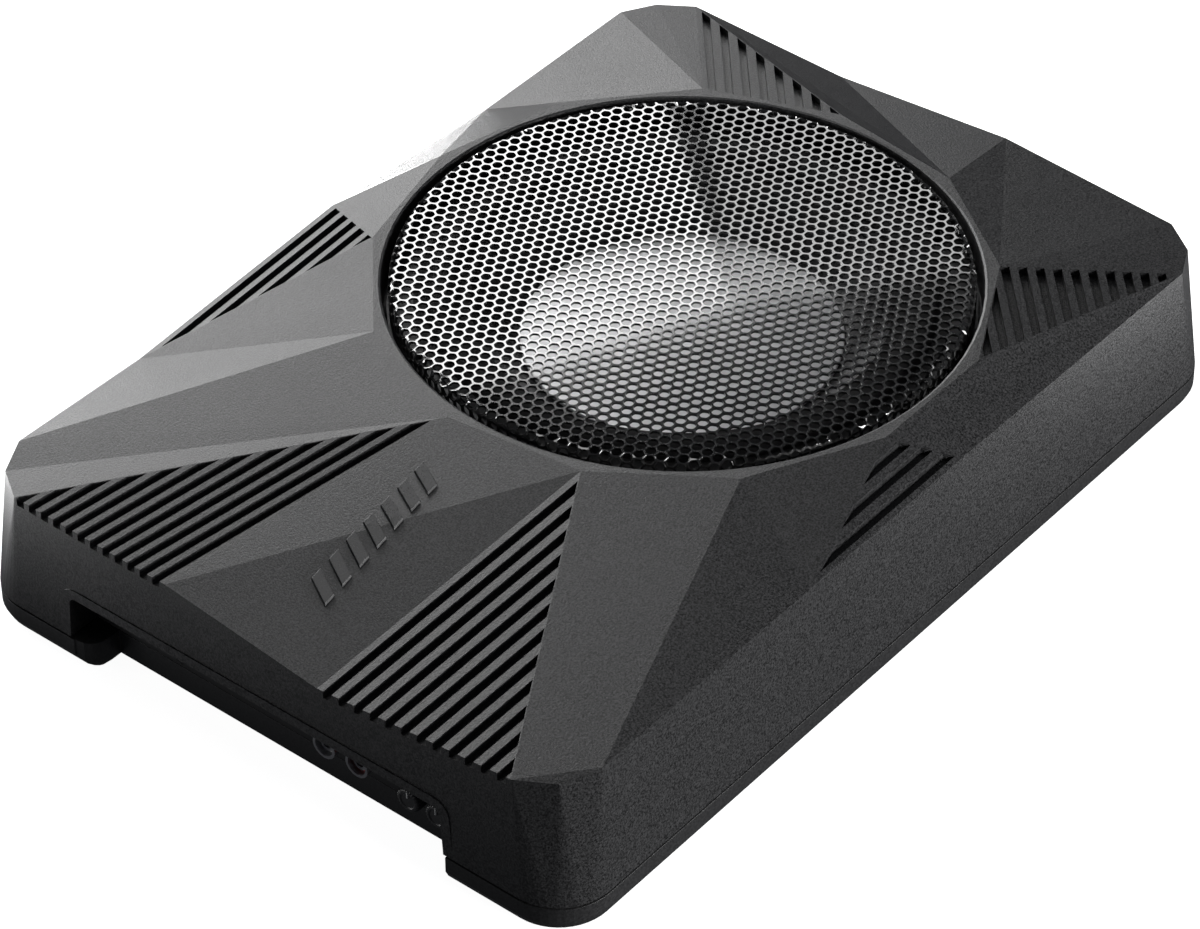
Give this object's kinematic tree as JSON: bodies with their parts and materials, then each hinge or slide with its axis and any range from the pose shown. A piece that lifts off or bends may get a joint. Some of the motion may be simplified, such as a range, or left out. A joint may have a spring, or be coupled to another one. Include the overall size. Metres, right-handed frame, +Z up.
{
  "type": "powered car subwoofer",
  "caption": "Flat faceted under-seat car subwoofer with a round perforated grille, a shallow driver, a built-in amplifier and a recessed connector bay at one short end.",
  "frame": {"origin": "centre of the footprint, on the surface that the feet stand on", "axes": "+X along the case from the connector bay towards the driver, +Y across it, +Z up out of the grille"},
  "size_m": [0.3516, 0.2504, 0.0712],
  "materials": {
    "powder_coat": "dark grey fine-grained powder coat",
    "tray_plastic": "matte dark grey moulding",
    "black_rubber": "matte black",
    "grille_steel": "black painted perforated sheet",
    "black_screw": "blackened",
    "basket_steel": "black painted pressed steel",
    "cone_paper": "black coated paper",
    "cap_aluminium": "bright satin",
    "former_foil": "amber film",
    "copper": "enamelled copper wire",
    "winding": "enamelled copper wire on a ring core",
    "spider_cloth": "resin-dipped cloth",
    "plated_steel": "zinc plated",
    "ferrite": "dull dark grey",
    "board_laminate": "green solder mask",
    "panel_black": "matte black",
    "socket_plastic": "black",
    "knob_plastic": "dark grey",
    "slider_grey": "light grey",
    "heat_sink": "plain extrusion",
    "sleeve_black": "black sleeve",
    "core_yellow": "yellow coated core with copper wire",
    "wire_red": "red insulation",
    "wire_black": "black insulation",
    "rca_white": "white insert",
    "rca_red": "red insert",
    "fuse_amber": "translucent amber",
    "led_lens": "blue lens"
  },
  "bodies": {
    "case": {"top_shell": "powder_coat", "badge_plate": "powder_coat", "bottom_tray": "tray_plastic", "case_gasket": "black_rubber", "foot_1": "black_rubber", "foot_2": "black_rubber", "foot_3": "black_rubber", "foot_4": "black_rubber", "driver_gasket": "black_rubber", "surround": "black_rubber", "driver_grille": "grille_steel", "case_screw_1": "black_screw", "case_screw_2": "black_screw", "case_screw_3": "black_screw", "case_screw_4": "black_screw", "case_screw_5": "black_screw", "case_screw_6": "black_screw", "driver_screw_1": "black_screw", "driver_screw_2": "black_screw", "driver_screw_3": "black_screw", "driver_screw_4": "black_screw", "driver_screw_5": "black_screw", "driver_screw_6": "black_screw", "driver_basket": "basket_steel", "power_transformer": "winding", "spider": "spider_cloth", "top_plate": "plated_steel", "pole_yoke": "plated_steel", "gain_potentiometer": "plated_steel", "crossover_potentiometer": "plated_steel", "magnet": "ferrite", "amplifier_board": "board_laminate", "connector_panel": "panel_black", "speaker_terminal": "socket_plastic", "power_socket": "socket_plastic", "high_level_socket": "socket_plastic", "remote_socket": "socket_plastic", "fuse_holder": "socket_plastic", "phase_switch_body": "socket_plastic", "auto_on_switch_body": "socket_plastic", "heat_sink": "heat_sink", "capacitor_1": "sleeve_black", "capacitor_2": "sleeve_black", "transistor_1": "sleeve_black", "transistor_2": "sleeve_black", "output_choke": "core_yellow", "speaker_lead_positive": "wire_red", "speaker_lead_negative": "wire_black", "rca_socket_left": "rca_white", "rca_socket_right": "rca_red", "fuse": "fuse_amber", "status_led": "led_lens"},
    "cone_assembly": {"cone": "cone_paper", "dust_cap": "cap_aluminium", "voice_coil_former": "former_foil", "voice_coil_winding": "copper"},
    "gain_knob_body": {"gain_knob": "knob_plastic"},
    "crossover_knob_body": {"crossover_knob": "knob_plastic"},
    "phase_slider_body": {"phase_switch_slider": "slider_grey"},
    "auto_on_slider_body": {"auto_on_switch_slider": "slider_grey"}
  },
  "joints": [
    {"name": "cone_travel", "type": "slide", "parent": "case", "child": "cone_assembly", "axis": [0, 0, 1], "range_m": [-0.005, 0.005], "stiffness_N_per_m": 2500, "deforming": ["surround", "spider"]},
    {"name": "gain_knob_turn", "type": "hinge", "parent": "case", "child": "gain_knob_body", "pos_m": [-0.1632, -0.0585, 0.0215], "axis": [-1, 0, 0], "range_deg": [-140, 140]},
    {"name": "crossover_knob_turn", "type": "hinge", "parent": "case", "child": "crossover_knob_body", "pos_m": [-0.1632, -0.07, 0.0215], "axis": [-1, 0, 0], "range_deg": [-140, 140]},
    {"name": "phase_slide", "type": "slide", "parent": "case", "child": "phase_slider_body", "axis": [0, -1, 0], "range_m": [0, 0.0025]},
    {"name": "auto_on_slide", "type": "slide", "parent": "case", "child": "auto_on_slider_body", "axis": [0, -1, 0], "range_m": [0, 0.0025]}
  ]
}
